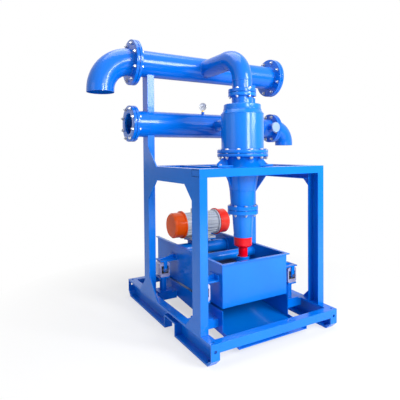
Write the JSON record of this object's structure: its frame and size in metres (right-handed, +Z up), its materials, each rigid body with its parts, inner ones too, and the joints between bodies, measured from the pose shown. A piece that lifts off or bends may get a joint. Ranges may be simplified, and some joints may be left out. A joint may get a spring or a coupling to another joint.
{
  "type": "hydrocyclone",
  "caption": "Hydrocyclone desander: a lined cyclone on a four-post skid, with feed and overflow header pipes over a vibrating dewatering screen.",
  "frame": {"origin": "on the floor, at the centre of the four anchor holes in the skid's lower flanges", "axes": "+Z up, +X to the right along the header pipes, +Y to the rear, away from the cyclone"},
  "size_m": [2.1174, 1.52, 2.2964],
  "materials": {
    "blue_paint": "gloss",
    "pipe_paint": "gloss",
    "red_polyurethane": "gloss",
    "rubber_lining": "matte",
    "gasket_rubber": "matte",
    "zinc_bolts": "satin",
    "cast_aluminium": "satin",
    "suspension_rubber": "matte",
    "core_steel": "satin",
    "screen_polyurethane": "matte",
    "motor_grey": "satin",
    "cap_orange": "gloss",
    "winding_steel": "satin",
    "bearing_steel": "polished",
    "gauge_chrome": "polished",
    "dial_white": "satin",
    "gauge_glass": "gloss",
    "needle_black": "satin",
    "gauge_brass": "satin"
  },
  "bodies": {
    "frame": {"skid_runner_left": "blue_paint", "skid_runner_right": "blue_paint", "cross_beams": "blue_paint", "front_posts": "blue_paint", "rear_posts": "blue_paint", "header_struts": "blue_paint", "top_side_beams": "blue_paint", "cyclone_beams": "blue_paint", "top_beam_front": "blue_paint", "top_beam_rear": "blue_paint", "corner_gussets": "blue_paint", "cyclone_cover": "blue_paint", "cyclone_body": "blue_paint", "upper_cone": "blue_paint", "lower_cone": "blue_paint", "suspension_brackets": "blue_paint", "suspension_pedestals": "blue_paint", "under_screen_pan": "blue_paint", "nozzle_cap": "blue_paint", "overflow_elbow": "pipe_paint", "overflow_header": "pipe_paint", "blind_flange": "pipe_paint", "discharge_elbow": "pipe_paint", "feed_header": "pipe_paint", "feed_inlet_flange": "pipe_paint", "feed_elbow": "pipe_paint", "apex_cup": "red_polyurethane", "apex_spigot": "red_polyurethane", "body_liner": "rubber_lining", "upper_cone_liner": "rubber_lining", "lower_cone_liner": "rubber_lining", "apex_insert": "rubber_lining", "vortex_finder": "rubber_lining", "flange_gaskets": "gasket_rubber", "flange_bolts": "zinc_bolts", "small_bolts": "zinc_bolts", "suspension_housings": "cast_aluminium", "suspension_cords": "suspension_rubber", "gauge_case": "gauge_chrome", "gauge_dial": "dial_white", "gauge_lens": "gauge_glass", "gauge_stem": "gauge_brass"},
    "screen": {"screen_box": "blue_paint", "screen_cross_tube": "blue_paint", "motor_tube": "blue_paint", "screen_deck": "screen_polyurethane", "feed_funnel": "blue_paint", "motor_housing": "motor_grey", "motor_cap_left": "cap_orange", "motor_cap_right": "cap_orange", "motor_bearings": "bearing_steel", "motor_stator": "winding_steel", "terminal_box": "motor_grey", "suspension_cores": "core_steel", "suspension_hangers": "blue_paint", "screen_bolts": "zinc_bolts"},
    "rotor": {"motor_rotor": "winding_steel"},
    "needle": {"gauge_needle": "needle_black"}
  },
  "joints": [
    {"name": "screen_shake", "type": "slide", "parent": "frame", "child": "screen", "axis": [0, 0, 1], "range_m": [-0.004, 0.004], "stiffness_N_per_m": 600000, "springref_m": 0.00349, "deforming": ["suspension_cords"]},
    {"name": "rotor_spin", "type": "hinge", "parent": "screen", "child": "rotor", "pos_m": [0, 0.381, 0.699], "axis": [1, 0, 0], "continuous": true},
    {"name": "needle_turn", "type": "hinge", "parent": "frame", "child": "needle", "pos_m": [0, 0.286, 1.783], "axis": [0.5, 0.866, 0], "range_deg": [0, 270], "stiffness_Nm_per_rad": 0.002, "springref_deg": -17.19}
  ]
}
